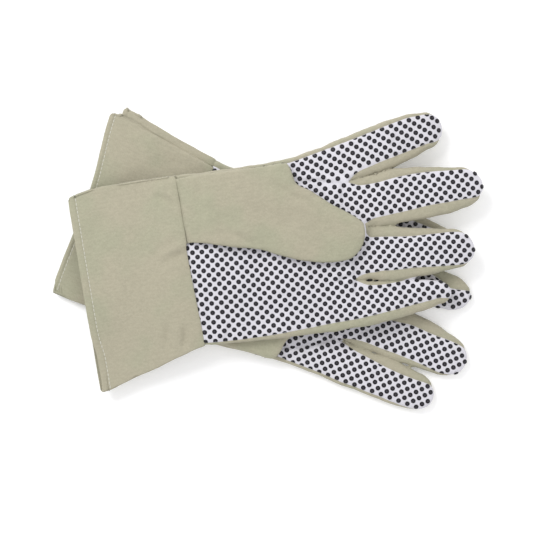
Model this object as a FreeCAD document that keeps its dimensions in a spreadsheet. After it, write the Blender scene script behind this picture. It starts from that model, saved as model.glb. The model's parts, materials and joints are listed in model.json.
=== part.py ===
import FreeCAD, Part
import math
import os

import Sketcher

# A pair of gauntlet-cuff gardening gloves, palms up and crossed: the left glove lies on the right.
# Each glove is modelled in a frame of its own: x runs from the middle of the wrist seam to the
# fingertips, y across the hand, and z = 0 is the palm's outer face. Across the hand, lengths are
# counted towards the thumb, which is +y on the left glove and -y on the right one.

HANDS = {"left": 1, "right": -1}
FINGERS = ("index", "middle", "ring", "pinky")
JOINTED = {"left": FINGERS, "right": ("index", "middle")}
DROOPING = ("left",)

SIZES = {
    # cloth, and the clearances of pieces that lie or fold on each other
    "cloth": 1.0,
    "glove_depth": 9.0,
    "thumb_depth": 7.0,
    "lay_gap": 0.3,
    "fold_gap": 2.0,
    "crease_gap": 0.4,
    "finger_gap": 1.3,
    # hand: its length is from the wrist seam to the middle finger's fold
    "hand_length": 127.5,
    "wrist_width": 121.6,
    "hand_edge": 59.0,
    "thumb_crotch": 80.0,
    "left_row_shift": 1.3,
    "right_row_shift": -6.6,
    # cuff
    "cuff_length": 75.0,
    "cuff_opening": 139.0,
    "cuff_thumb_reach": 58.7,
    "hem_width": 4.5,
    # fingers: how far each fold is set back, length, width at the hand and at the tip
    "index_setback": 6.5,
    "index_length": 73.0,
    "index_base_length": 33.0,
    "index_width": 28.6,
    "index_tip_width": 29.0,
    "middle_setback": 0.0,
    "middle_length": 84.3,
    "middle_base_length": 38.0,
    "middle_width": 33.8,
    "middle_tip_width": 29.0,
    "ring_setback": 1.0,
    "ring_length": 72.6,
    "ring_base_length": 33.0,
    "ring_width": 36.6,
    "ring_tip_width": 24.3,
    "pinky_setback": 13.5,
    "pinky_length": 64.2,
    "pinky_base_length": 29.0,
    "pinky_width": 29.0,
    "pinky_tip_width": 20.5,
    # how far each fingertip leans towards the thumb
    "left_index_lean": 8.8,
    "left_middle_lean": 0.1,
    "left_ring_lean": -5.9,
    "left_pinky_lean": 1.3,
    "right_index_lean": 2.4,
    "right_middle_lean": 4.0,
    "right_ring_lean": -2.5,
    "right_pinky_lean": -2.0,
    # thumb, folded flat over the palm
    "thumb_start": 1.5,
    "thumb_root": 11.5,
    "thumb_setback": 3.5,
    "thumb_tip_width": 36.0,
    "thumb_tip_across": 0.0,
    "thumb_neck_reach": 84.0,
    "thumb_neck": 40.0,
    # how the pair lies
    "left_turn": 9.5,
    "right_turn": -17.7,
    "left_wrist_along": 1.8,
    "left_wrist_across": -10.7,
    "index_droop": 9.0,
    "middle_droop": 4.0,
    "ring_droop": 4.0,
    "pinky_droop": 4.0,
}


class Size:
    """A size held twice: as an expression on the spreadsheet, and as its number."""

    def __init__(self, text, number):
        self.text = text
        self.number = number

    def __add__(self, other):
        other = as_size(other)
        return Size(f"({self.text} + {other.text})", self.number + other.number)

    def __sub__(self, other):
        other = as_size(other)
        return Size(f"({self.text} - {other.text})", self.number - other.number)

    def __mul__(self, other):
        other = as_size(other)
        return Size(f"({self.text} * {other.text})", self.number * other.number)

    def __truediv__(self, other):
        other = as_size(other)
        return Size(f"({self.text} / {other.text})", self.number / other.number)

    def __neg__(self):
        return self * -1


def as_size(value):
    """A plain number as a Size."""
    return value if isinstance(value, Size) else Size(f"({float(value)})", float(value))


def size(name):
    """The spreadsheet's size of that name."""
    return Size(f"Sizes.{name}", SIZES[name])


def write_sheet(document):
    """The driving sizes, one a row: name, number."""
    sheet = document.addObject("Spreadsheet::Sheet", "Sizes")
    for row, (name, number) in enumerate(SIZES.items(), start=1):
        sheet.set(f"A{row}", name)
        sheet.set(f"B{row}", str(number))
        sheet.setAlias(f"B{row}", name)
    document.recompute()


# ---------------------------------------------------------------- drawing


class Drawing:
    """A sketch on one of a body's origin planes, shifted out of it and across it."""

    def __init__(self, body, plane, out, across=0.0):
        self.sketch = body.newObject("Sketcher::SketchObject", f"{body.Name}_sketch")
        planes = body.Origin.OriginFeatures
        support = next(feature for feature in planes if feature.Role == plane)
        self.sketch.AttachmentSupport = [(support, "")]
        self.sketch.MapMode = "FlatFace"
        self.sketch.setExpression("AttachmentOffset.Base.x", as_size(across).text)
        self.sketch.setExpression("AttachmentOffset.Base.z", as_size(out).text)

    def hold(self, kind, *ends, at):
        """A constraint whose value is a size."""
        at = as_size(at)
        index = self.sketch.addConstraint(Sketcher.Constraint(kind, *ends, at.number))
        self.sketch.setExpression(f"Constraints[{index}]", at.text)

    def hold_point(self, piece, end, point):
        """Holds one end of a line, or the centre of an arc, at a point."""
        origin = (-1, 1)
        self.hold("DistanceX", *origin, piece, end, at=point[0])
        self.hold("DistanceY", *origin, piece, end, at=point[1])

    def join(self, first, first_end, second, second_end):
        self.sketch.addConstraint(
            Sketcher.Constraint("Coincident", first, first_end, second, second_end)
        )

    def line(self, start, end):
        return self.sketch.addGeometry(Part.LineSegment(vector(start), vector(end)))

    def arc(self, centre, radius, first, last):
        circle = Part.Circle(vector(centre), FreeCAD.Vector(0, 0, 1), as_size(radius).number)
        return self.sketch.addGeometry(
            Part.ArcOfCircle(circle, math.radians(first), math.radians(last))
        )

    def polygon(self, points):
        """A closed outline with every corner held."""
        corners = list(zip(points, points[1:] + points[:1]))
        lines = [self.line(start, end) for start, end in corners]
        for line, after, (start, _) in zip(lines, lines[1:] + lines[:1], corners):
            self.hold_point(line, 1, start)
            self.join(line, 2, after, 1)

    def arc_on_axis(self, centre, radius, first):
        """A half circle whose two ends stand straight above and below its centre."""
        arc = self.arc(centre, radius, first, first + 180)
        self.hold_point(arc, 3, centre)
        self.hold("Radius", arc, at=radius)
        for end in (1, 2):
            self.sketch.addConstraint(Sketcher.Constraint("Vertical", arc, end, arc, 3))
        return arc

    def span(self, first, first_end, second, second_end):
        """A line from one piece's end to another's."""
        start = self.sketch.getPoint(first, first_end)
        end = self.sketch.getPoint(second, second_end)
        line = self.sketch.addGeometry(Part.LineSegment(start, end))
        self.join(line, 1, first, first_end)
        self.join(line, 2, second, second_end)

    def touch(self, line, line_end, arc, arc_end):
        """A line from another line's end that runs smoothly into an arc."""
        start = self.sketch.getPoint(line, line_end)
        end = self.sketch.getPoint(arc, arc_end)
        run = self.sketch.addGeometry(Part.LineSegment(start, end))
        self.join(run, 1, line, line_end)
        self.sketch.addConstraint(Sketcher.Constraint("Tangent", run, 2, arc, arc_end))

    def half_pipe(self, centre, facing):
        """The section of cloth rolled half round an edge, open away from `facing`."""
        first = -90 if facing > 0 else 90
        outer = self.arc_on_axis(centre, size("glove_depth") / 2, first)
        inner = self.arc_on_axis(centre, size("glove_depth") / 2 - size("cloth"), first)
        self.span(outer, 1, inner, 1)
        self.span(outer, 2, inner, 2)

    def racetrack(self, low, high, height, radius):
        """Two straights joined by half circles centred at `low` and `high`."""
        right = self.arc_on_axis((high, height), radius, -90)
        left = self.arc_on_axis((low, height), radius, 90)
        self.span(right, 1, left, 2)
        self.span(right, 2, left, 1)


def vector(point):
    return FreeCAD.Vector(as_size(point[0]).number, as_size(point[1]).number, 0)


# ---------------------------------------------------------------- features


def pad(body, drawing, length):
    feature = body.newObject("PartDesign::Pad", f"{body.Name}_pad")
    feature.Profile = drawing.sketch
    feature.setExpression("Length", as_size(length).text)
    return feature


def plate(body, points, floor):
    """A cloth panel lying flat: its outline, and the height of its underside."""
    drawing = Drawing(body, "XY_Plane", floor)
    drawing.polygon(points)
    pad(body, drawing, size("cloth"))


def edge_strip(body, stations, side, facing):
    """Cloth rolled half round an edge that runs through (along, edge) stations."""
    radius = size("glove_depth") / 2
    for (start, start_edge), (end, end_edge) in zip(stations, stations[1:]):
        sections = []
        for along, edge in ((start, start_edge), (end, end_edge)):
            drawing = Drawing(body, "YZ_Plane", along)
            centre = (edge - radius * facing) * side
            drawing.half_pipe((centre, -radius), side * facing)
            sections.append(drawing.sketch)
        loft = body.newObject("PartDesign::AdditiveLoft", f"{body.Name}_loft")
        loft.Profile = sections[0]
        loft.Sections = sections[1:]
        loft.Ruled = True


def tip_cap(body, along, middle, width):
    """The front panel's end, wrapped round the fingertip as half a hollow ring."""
    radius = size("glove_depth") / 2
    drawing = Drawing(body, "YZ_Plane", along, middle)
    drawing.half_pipe((width / 2 - radius, -radius), 1)
    turn = body.newObject("PartDesign::Revolution", f"{body.Name}_cap")
    turn.Profile = drawing.sketch
    turn.ReferenceAxis = (drawing.sketch, ["V_Axis"])
    turn.Angle = 180
    turn.Reversed = True


def tip_plate(body, base, tip, side, floor):
    """A finger panel whose far end is round: (along, high, low) at the base, and the tip."""
    along, middle, width = tip
    radius = width / 2 - size("glove_depth") / 2
    start, high, low = base
    drawing = Drawing(body, "XY_Plane", floor)
    arc = drawing.arc_on_axis((along, middle), radius, -90)
    upper, lower = (2, 1) if side > 0 else (1, 2)
    edge = drawing.line((start, high * side), (start, low * side))
    drawing.hold_point(edge, 1, (start, high * side))
    drawing.hold_point(edge, 2, (start, low * side))
    drawing.span(arc, upper, edge, 1)
    drawing.span(edge, 2, arc, lower)
    pad(body, drawing, size("cloth"))


# ---------------------------------------------------------------- sub-parts


class Finger:
    """One finger's plan: straight tapering edges from the hand to the middle of its tip."""

    def __init__(self, hand, name, row):
        self.name = name
        self.reach = size("hand_length") - size(f"{name}_setback")
        self.crease = self.reach + size(f"{name}_base_length")
        self.tip_width = size(f"{name}_tip_width")
        self.tip_along = self.reach + size(f"{name}_length") - self.tip_width / 2
        self.high, self.low = row[name]
        self.tip_middle = (self.high + self.low) / 2 + size(f"{hand}_{name}_lean")

    def edge(self, along, facing):
        """The finger's edge on its thumb side (+1) or little-finger side (-1)."""
        start = self.high if facing > 0 else self.low
        end = self.tip_middle + self.tip_width / 2 * facing
        return start + (end - start) * ((along - self.reach) / (self.tip_along - self.reach))


def finger_row(hand):
    """Each finger's two edges where it leaves the hand, from the index finger on."""
    gap = size("finger_gap")
    total = gap * (len(FINGERS) - 1)
    for name in FINGERS:
        total = total + size(f"{name}_width")
    edge = size(f"{hand}_row_shift") + total / 2
    row = {}
    for name in FINGERS:
        row[name] = (edge, edge - size(f"{name}_width"))
        edge = row[name][1] - gap
    return row


class Glove:
    """Builds one glove's sub-parts and keeps them by their fold."""

    def __init__(self, document, hand):
        self.document = document
        self.hand = hand
        self.side = HANDS[hand]
        self.row = finger_row(hand)
        self.fingers = {name: Finger(hand, name, self.row) for name in FINGERS}
        self.pieces = []

    def body(self, name, finger=None):
        body = self.document.addObject("PartDesign::Body", f"{self.hand}_{name}")
        body.Label = f"{self.hand}_{name}"
        self.pieces.append((body, finger))
        return body

    def flat(self, points):
        """Plan points counted along the hand and towards the thumb, as x and y."""
        return [(along, across * self.side) for along, across in points]

    def build(self):
        self.build_hand()
        self.build_cuff()
        self.build_thumb()
        for finger in self.fingers.values():
            crease = finger.crease
            first = finger.reach + size("fold_gap")
            if finger.name in JOINTED[self.hand]:
                self.build_base(finger, first, crease - size("crease_gap"))
                self.build_tip(finger, crease + size("crease_gap"), "_tip")
            else:
                self.build_tip(finger, first, "")

    def hand_plan(self):
        """The panel between the rolled edges, stepped where the fingers leave it."""
        rolled = size("glove_depth") / 2
        wrist = size("wrist_width") / 2
        points = [(as_size(0), rolled - wrist)]
        edge = self.fingers["pinky"].low + rolled
        for name in reversed(FINGERS):
            finger = self.fingers[name]
            points.append((finger.reach, edge))
            edge = finger.high + size("finger_gap") / 2
            if name == "index":
                edge = finger.high - rolled
            points.append((finger.reach, edge))
        points.append((size("thumb_crotch"), size("hand_edge") - rolled))
        points.append((as_size(0), wrist - rolled))
        return self.flat(points)

    def build_hand(self):
        wrist = size("wrist_width") / 2
        plan = self.hand_plan()
        plate(self.body("palm_panel"), plan, -size("cloth"))
        back = self.body("back_panel")
        plate(back, plan, -size("glove_depth"))
        pinky = self.fingers["pinky"]
        edge_strip(back, [(as_size(0), -wrist), (pinky.reach, pinky.low)], self.side, -1)
        index = self.fingers["index"]
        stations = [
            (as_size(0), wrist),
            (size("thumb_crotch"), size("hand_edge")),
            (index.reach, index.high),
        ]
        edge_strip(self.body("hand_side_strip"), stations, self.side, 1)

    def cuff_edge(self, along, facing):
        """The cuff's edge at a distance from the wrist seam, which is negative here."""
        wrist = size("wrist_width") / 2 * facing
        free = size("cuff_thumb_reach")
        if facing < 0:
            free = free - size("cuff_opening")
        return wrist + (free - wrist) * (-along / size("cuff_length"))

    def build_cuff(self):
        rolled = size("glove_depth") / 2
        wrist = -size("fold_gap")
        hem = size("hem_width") - size("cuff_length")
        high = {x: self.cuff_edge(x, 1) for x in (wrist, hem)}
        low = {x: self.cuff_edge(x, -1) for x in (wrist, hem)}
        points = [(hem, low[hem] + rolled), (wrist, low[wrist] + rolled)]
        points += [(wrist, high[wrist] - rolled), (hem, high[hem] - rolled)]
        plate(self.body("cuff_palm_panel"), self.flat(points), -size("cloth"))
        back = self.body("cuff_back_panel")
        plate(back, self.flat(points), -size("glove_depth"))
        edge_strip(back, [(hem, high[hem]), (wrist, high[wrist])], self.side, 1)
        edge_strip(back, [(hem, low[hem]), (wrist, low[wrist])], self.side, -1)
        self.build_hem(high[hem] - rolled, low[hem] + rolled)

    def build_hem(self, high, low):
        """The turned-over end of the cuff: a band of doubled cloth round the opening."""
        rolled = size("glove_depth") / 2
        body = self.body("cuff_hem")
        drawing = Drawing(body, "YZ_Plane", -size("cuff_length"))
        ends = sorted((high * self.side, low * self.side), key=lambda end: end.number)
        for radius in (rolled, rolled - size("cloth") * 2):
            drawing.racetrack(*ends, -rolled, radius)
        pad(body, drawing, size("hem_width"))

    def build_thumb(self):
        """Two trays rim to rim, open along the fold at the thumb side of the hand."""
        half = size("thumb_depth") / 2
        for name, floor, opening in (("inner", 0, 1), ("outer", half, -1)):
            body = self.body(f"thumb_{name}")
            drawing = Drawing(body, "XY_Plane", size("lay_gap") + floor)
            self.draw_thumb(drawing)
            tray = pad(body, drawing, half)
            self.document.recompute()
            fold = (size("wrist_width") / 2 - size("lay_gap")) * self.side
            faces = []
            for index, face in enumerate(tray.Shape.Faces, start=1):
                middle = face.CenterOfMass
                normal = face.normalAt(0, 0)
                on_fold = abs(middle.y - fold.number) < 0.01
                if normal.z * opening > 0.9 or on_fold:
                    faces.append(f"Face{index}")
            shell = body.newObject("PartDesign::Thickness", f"{body.Name}_shell")
            shell.Base = (tray, faces)
            shell.setExpression("Value", "Sizes.cloth")
            shell.Reversed = True
            shell.Join = 1

    def draw_thumb(self, drawing):
        """The folded thumb's outline: a wide root along the fold, and a round tip."""
        fold = size("wrist_width") / 2 - size("lay_gap")
        radius = size("thumb_tip_width") / 2
        tip = size("hand_length") - size("thumb_setback")
        centre = (tip - radius, size("thumb_tip_across"))
        start = size("thumb_start")
        plan = [(start, size("thumb_root")), (start, fold), (size("thumb_crotch"), fold)]
        plan.append((size("thumb_neck_reach"), size("thumb_neck")))
        corners = self.flat(plan)
        centre = (centre[0], centre[1] * self.side)
        upper = tangent_angle(centre, radius, corners[-1], self.side)
        lower = tangent_angle(centre, radius, corners[0], -self.side)
        first, last = (lower, upper) if self.side > 0 else (upper, lower)
        arc = drawing.arc(centre, radius, first, last)
        drawing.hold_point(arc, 3, centre)
        drawing.hold("Radius", arc, at=radius)
        lines = [drawing.line(a, b) for a, b in zip(corners, corners[1:])]
        for line, corner in zip(lines, corners):
            drawing.hold_point(line, 1, corner)
        drawing.hold_point(lines[-1], 2, corners[-1])
        for line, after in zip(lines, lines[1:]):
            drawing.join(line, 2, after, 1)
        upper_end, lower_end = (2, 1) if self.side > 0 else (1, 2)
        drawing.touch(lines[-1], 2, arc, upper_end)
        drawing.touch(lines[0], 1, arc, lower_end)

    def build_base(self, finger, start, end):
        """A finger's first link: front, back and the strips along its two sides."""
        rolled = size("glove_depth") / 2
        corners = [(start, finger.edge(start, 1) - rolled), (end, finger.edge(end, 1) - rolled)]
        corners += [(end, finger.edge(end, -1) + rolled), (start, finger.edge(start, -1) + rolled)]
        points = self.flat(corners)
        name = f"{finger.name}_base"
        plate(self.body(f"{name}_front", finger), points, -size("cloth"))
        plate(self.body(f"{name}_back", finger), points, -size("glove_depth"))
        self.build_sides(finger, name, start, end)

    def build_tip(self, finger, start, suffix):
        """A finger's last link, or a whole finger that has no crease of its own."""
        rolled = size("glove_depth") / 2
        base = (start, finger.edge(start, 1) - rolled, finger.edge(start, -1) + rolled)
        middle = finger.tip_middle * self.side
        tip = (finger.tip_along, middle, finger.tip_width)
        name = f"{finger.name}{suffix}"
        front = self.body(f"{name}_front", finger)
        tip_plate(front, base, tip, self.side, -size("cloth"))
        tip_cap(front, *tip)
        back = self.body(f"{name}_back", finger)
        tip_plate(back, base, tip, self.side, -size("glove_depth"))
        self.build_sides(finger, name, start, finger.tip_along)

    def build_sides(self, finger, name, start, end):
        body = self.body(f"{name}_sides", finger)
        for facing in (1, -1):
            stations = [(along, finger.edge(along, facing)) for along in (start, end)]
            edge_strip(body, stations, self.side, facing)

    def place(self, finger):
        """Where a piece lies: the glove's own place, and the finger's droop from its fold."""
        lie = glove_place(self.hand)
        if finger is None or self.hand not in DROOPING:
            return lie
        fold = FreeCAD.Vector(finger.reach.number, 0, 0)
        droop = FreeCAD.Rotation(FreeCAD.Vector(0, 1, 0), SIZES[f"{finger.name}_droop"])
        return lie * FreeCAD.Placement(FreeCAD.Vector(), droop, fold)


def tangent_angle(centre, radius, corner, turn):
    """The direction, in degrees, in which a line from a corner meets a circle."""
    reach = vector(corner) - vector(centre)
    spread = math.degrees(math.acos(as_size(radius).number / reach.Length))
    angle = math.degrees(math.atan2(reach.y, reach.x)) - spread * turn
    return angle


def glove_place(hand):
    """The glove's place: the right one on the ground, the left one on its folded thumb."""
    palm = SIZES["glove_depth"]
    if hand == "right":
        where = FreeCAD.Vector(0, 0, palm)
    else:
        layer = SIZES["lay_gap"] * 2 + SIZES["thumb_depth"] + SIZES["glove_depth"]
        where = FreeCAD.Vector(SIZES["left_wrist_along"], SIZES["left_wrist_across"], palm + layer)
    turn = FreeCAD.Rotation(FreeCAD.Vector(0, 0, 1), SIZES[f"{hand}_turn"])
    return FreeCAD.Placement(where, turn)


def centre_on_origin(bodies):
    """Moves the pair so that the middle of its footprint is at the origin."""
    box = FreeCAD.BoundBox()
    for body in bodies:
        box.add(body.Shape.optimalBoundingBox(False, False))
    shift = FreeCAD.Placement(FreeCAD.Vector(-box.Center.x, -box.Center.y, 0), FreeCAD.Rotation())
    for body in bodies:
        body.Placement = shift * body.Placement
    return shift


def check(document, bodies):
    """Stops the build on any failed object or empty or broken shape."""
    for item in document.Objects:
        if {"Invalid", "Error"} & set(item.State):
            raise RuntimeError(f"{item.Label} did not compute")
    for body in bodies:
        if body.Shape.isNull() or not body.Shape.isValid():
            raise RuntimeError(f"{body.Label} has no valid shape")


def build_pair():
    """Builds both gloves and returns their bodies and the shift to the pair's own frame."""
    document = FreeCAD.newDocument("gardening_gloves")
    write_sheet(document)
    gloves = [Glove(document, hand) for hand in HANDS]
    for glove in gloves:
        glove.build()
        for body, finger in glove.pieces:
            body.Placement = glove.place(finger)
    document.recompute()
    bodies = [body for glove in gloves for body, _ in glove.pieces]
    check(document, bodies)
    return gloves, bodies, centre_on_origin(bodies)


def write_steps(bodies):
    os.makedirs("parts", exist_ok=True)
    for body in bodies:
        body.Shape.exportStep(f"parts/{body.Label}.step")


GLOVES, BODIES, SHIFT = build_pair()
write_steps(BODIES)
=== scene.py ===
"""Pair of cotton gardening gloves with gauntlet cuffs, laid palms up with the left glove over the right.
Each glove is sewn from a dotted front, side strips, a back, a folded thumb and a hemmed cuff, round the
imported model's bodies."""

import json
import math

import bmesh
import bpy
import numpy as np
from bpy.props import EnumProperty, FloatProperty, FloatVectorProperty, IntProperty, PointerProperty
from mathutils import Matrix, Vector, noise
from mathutils.bvhtree import BVHTree

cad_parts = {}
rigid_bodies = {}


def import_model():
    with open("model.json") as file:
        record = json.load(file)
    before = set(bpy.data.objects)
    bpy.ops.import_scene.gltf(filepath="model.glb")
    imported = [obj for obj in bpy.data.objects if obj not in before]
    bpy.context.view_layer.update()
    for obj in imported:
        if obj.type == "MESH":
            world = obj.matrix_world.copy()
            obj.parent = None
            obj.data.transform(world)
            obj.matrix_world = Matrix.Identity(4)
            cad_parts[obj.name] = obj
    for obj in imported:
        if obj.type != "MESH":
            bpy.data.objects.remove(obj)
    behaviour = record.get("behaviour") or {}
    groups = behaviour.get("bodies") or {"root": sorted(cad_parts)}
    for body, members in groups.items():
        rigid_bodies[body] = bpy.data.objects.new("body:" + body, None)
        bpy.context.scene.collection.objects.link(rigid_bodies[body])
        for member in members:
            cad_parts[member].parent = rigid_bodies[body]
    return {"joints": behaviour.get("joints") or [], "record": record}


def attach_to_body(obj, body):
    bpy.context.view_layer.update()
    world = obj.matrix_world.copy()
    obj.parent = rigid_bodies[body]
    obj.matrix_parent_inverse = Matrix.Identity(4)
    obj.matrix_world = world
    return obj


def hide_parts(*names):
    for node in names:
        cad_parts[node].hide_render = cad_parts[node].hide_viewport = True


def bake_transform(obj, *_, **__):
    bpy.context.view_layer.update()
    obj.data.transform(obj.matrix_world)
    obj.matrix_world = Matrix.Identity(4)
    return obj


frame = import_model()
bpy.context.view_layer.update()

bl_info = {
    "name": "Gardening Gloves",
    "version": (1, 0, 0),
    "blender": (4, 5, 0),
    "location": "3D View > Sidebar > Gloves",
    "description": "Sews a pair of cotton gardening gloves with gauntlet cuffs and a dotted grip",
    "category": "Add Mesh",
}

# Sizes from here on are millimetres in the glove's own place, unless they say otherwise.
MM = 0.001
HAND_DEPTH = 9.0
FINGER_DEPTH = 8.8
WEB_DEPTH = 8.2
THUMB_DEPTH = 7.0
# The thumb is thinnest where it starts and has its full depth by the end of THUMB_SWELL.
THUMB_START_SHARE = 0.26
THUMB_SWELL = (-1.5, 24)
# Height of the seam between the side strips and the back, and how far the hand goes on into the cuff.
BACK_SEAM = 2.3
WRIST_END = -3.8
# How far along a finger its knuckle bends, and how far each way its middle joint does.
KNUCKLE_SPAN = 14
CREASE_SPAN = 7
# Value of a field well away from its cutting line, and a height well clear of the gloves.
UNCUT = 9.0
CLEAR = 60
# Thickness in metres of the thumb's thin cloth and of the turned hem.
THUMB_CLOTH = 0.0006
HEM_CLOTH = 0.0010
# Where the middle of a cuff's opening is, back from the wrist seam and across from the glove's own line.
CUFF_REACH = 75.0
CUFF_LEAN = -10.8
JOINTS = {joint["name"]: joint for joint in frame["joints"]}
MOUNTS = {mount["name"]: mount for mount in frame["record"]["mounts"]}


def smooth(value, start, end):
    """0 before start and 1 after end, with a soft step between."""
    u = np.clip((np.asarray(value, float) - start) / (end - start), 0, 1)
    return u * u * (3 - 2 * u)


def eased(places, rows, at):
    """Rows of numbers given at places, read along the smooth curve through them."""
    slope = np.gradient(rows, places, axis=0)
    i = np.clip(np.searchsorted(places, at, "right") - 1, 0, len(places) - 2)
    gap = (places[i + 1] - places[i])[:, None]
    u = (at - places[i])[:, None] / gap
    return (
        rows[i] * (2 * u**3 - 3 * u**2 + 1)
        + rows[i + 1] * (3 * u**2 - 2 * u**3)
        + slope[i] * gap * (u**3 - 2 * u**2 + u)
        + slope[i + 1] * gap * (u**3 - u**2)
    )


class Outline:
    """A part's flat outline: its low and high edges along the glove, and the width of the strip inside each
    edge. A strip of less than nothing lets the front run over that edge."""

    def __init__(self, rows, cap=None):
        rows = np.array(rows, float)
        if rows.shape[1] == 3:
            rows = np.hstack([rows, np.zeros((len(rows), 2))])
        turn = np.hypot(np.diff(rows[:, 0]), np.abs(np.diff(rows[:, 1:3], axis=0)).mean(1))
        places = np.concatenate([[0], np.cumsum(turn)])
        fine = eased(places, rows, np.linspace(0, places[-1], 14 * len(rows)))
        self.body_end = fine[-1, 0]
        self.end = self.body_end
        if cap:
            around = np.sin(np.linspace(0, math.pi / 2, 14))[1:, None]
            low, high = fine[-1, 1], fine[-1, 2]
            middle, half = (low + high) / 2, (high - low) / 2
            centre = middle + (cap[1] - middle) * around
            reach = half * np.sqrt(1 - np.minimum(around, 1) ** 2)
            x = self.body_end + (cap[0] - self.body_end) * around
            strips = fine[-1, 3:] + (np.array([-2.0, -2.0]) - fine[-1, 3:]) * around**2
            fine = np.vstack([fine, np.hstack([x, centre - reach, centre + reach, strips])])
            self.end = cap[0]
        self.fine = fine

    def at(self, x):
        return [np.interp(x, self.fine[:, 0], self.fine[:, k]) for k in range(1, 5)]

    def fill(self, x):
        """How much of its full depth the part has at x: it thins towards a capped end."""
        u = np.clip((x - self.body_end) / max(self.end - self.body_end, 1e-6), 0, 1)
        return np.sqrt(np.maximum(1 - u**2, 0)) ** 0.7 if self.end > self.body_end else np.ones_like(x)

    def front(self, x, t):
        """How far inside the front panel a point is, negative outside it."""
        low, high, low_strip, high_strip = self.at(x)
        end = self.end + (3 if self.end > self.body_end else 0)
        return np.minimum.reduce([t - low - low_strip, high - high_strip - t, x - self.fine[0, 0], end - x])


# Outlines: along the glove from the wrist seam, low edge, high edge (the thumb's side is high), strips.
HANDS = {
    "left": Outline(
        [
            (-7, -59.5, 60.5, 1.5, 3.5), (0, -59.5, 61, 1.5, 3.5), (20, -61.4, 60.6, 2, 3.5),
            (50, -63, 59.9, 3, 3.5), (78, -64.3, 59.8, 5.0, 3.2), (95, -65, 62.4, 6.2, 3),
            (108, -65, 65.0, 6.2, 2.9),
        ],
        cap=(114, 5),
    ),
    "right": Outline(
        [
            (-7, -64.6, 60.5, 4.8, 3.5), (2, -64.6, 60.8, 4.8, 3.5), (11, -63.2, 60.7, 5.4, 3.5),
            (34, -65, 60.4, 4.5, 3.5), (46, -66.5, 59.2, 3, 3.5), (84, -70, 57.2, 4.5, 3),
            (96, -71, 56.8, 5, 2), (108, -72, 57.5, 5, 2),
        ],
        cap=(114, -5),
    ),
}

FINGERS = {
    "left": {
        "index": Outline(
            [
                (96, 40.5, 62.2, -2, 3.3), (108, 39, 65.2, -2, 3.4), (119, 38, 68.0, -1.5, 3.7),
                (123, 38.6, 68.9, 1.5, 3.8), (138, 39.9, 72.0, 5.5, 3.8), (150, 41.7, 74.6, 6.5, 3.6),
                (161, 44.2, 76.4, 6.3, 3.1), (168, 46.2, 77.2, 5.8, 2.6), (178, 50.3, 76.9, 4, 1.8),
            ],
            cap=(191.5, 63.8),
        ),
        "middle": Outline(
            [
                (96, 6, 36, -2, -2), (112, 5, 36.4, -2, -2), (120, 4.8, 36.6, -1, 0.6),
                (126, 4.6, 37.2, 1.5, 3.8), (132, 4.0, 37.8, 4.6, 4.8), (140, 3.0, 38.5, 6.2, 5.3),
                (150, 2.6, 40.0, 7.2, 5.7), (160, 2.6, 40.2, 7.8, 5.4), (172, 2.6, 39.0, 8.8, 4.2),
                (185, 3.2, 36.9, 8.2, 3.0), (194, 5.0, 34.8, 6.7, 1.8),
            ],
            cap=(212.3, 20),
        ),
        "ring": Outline(
            [
                (92, -30, 1, -2, -2), (110, -30.5, 2.4, -1.5, -2), (118, -31.6, 2.9, 2.5, -2),
                (123, -32.4, 3.0, 4.0, -1), (127, -33.4, 2.8, 4.8, 5.8), (132, -34.6, 2.4, 6.2, 6.6),
                (140, -35.8, 1.6, 6.6, 7.0), (154, -36.9, -0.9, 7, 6.6), (162, -36.9, -2.6, 6.2, 5.6),
                (170, -36.6, -4.3, 5, 4.3), (184, -35.2, -7.3, 2, 2.0),
            ],
            cap=(199.5, -22.5),
        ),
        "pinky": Outline(
            [
                (88, -64.8, -32, 6.1, -2), (112, -65, -32.4, 6.4, -1.4), (119, -64.7, -33.6, 6.6, 1.7),
                (126, -64.3, -35.2, 6.7, 2.0), (138, -63.3, -36.6, 6.7, 1.2),
                (150, -62, -38.2, 6.5, -1.2), (163, -59.8, -39.9, 5.5, -2),
                (168, -58.2, -41.2, 4.5, -2),
            ],
            cap=(178, -50.6),
        ),
    },
    "right": {
        "index": Outline(
            [
                (90, 33, 56.8, -2, 2), (110, 31, 57.7, -2, 2), (122, 30.6, 58.9, -1.5, 2),
                (132, 31.0, 59.8, 1.6, 2), (146, 31.8, 60.6, 3.8, 2), (168, 32.8, 61.8, 6.4, 1.8),
                (182, 34.8, 62.2, 5.4, 0.8),
            ],
            cap=(198.2, 48.4),
        ),
        "middle": Outline(
            [
                (96, -3, 28.6, -2, -2), (120, -4.3, 28.8, -2, -1.5), (128, -4.5, 29.2, 0, 1.8),
                (138, -4.5, 29.7, 7, 3.8), (150, -4.5, 30.2, 9.8, 3.8), (168, -4, 31.0, 8.4, 3.6),
                (184, -1.5, 32.0, 7.6, 3.0), (194, 1.4, 32.2, 5, 1.6),
            ],
            cap=(213, 18),
        ),
        "ring": Outline(
            [
                (92, -41, -7, -2, -2), (118, -42, -6.6, -1.5, -2), (128, -42, -6.9, 5, -2),
                (150, -41.5, -8.4, 7, -2), (176, -39.2, -12, 6.6, -2), (185, -38.2, -13, 9.4, -2),
            ],
            cap=(202, -25.5),
        ),
        "pinky": Outline(
            [
                (88, -71.5, -44.5, 5, -2), (110, -72, -44.4, 5, -2), (130, -71.5, -46.2, 5, 3),
                (154, -70.6, -49, 5, 4), (168, -68.6, -51.4, 4, 3),
            ],
            cap=(179.5, -60),
        ),
    },
}

# The cloth between two fingers, up to where they part: along the glove from, to, and across.
WEBS = {
    "left": [(92, 121, 37.4, 8), (94, 127, 3.8, 8), (86, 114, -31.6, 7)],
    "right": [(92, 122, 29.7, 8), (94, 126, -5.5, 8), (86, 114, -43.3, 7)],
}

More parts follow.
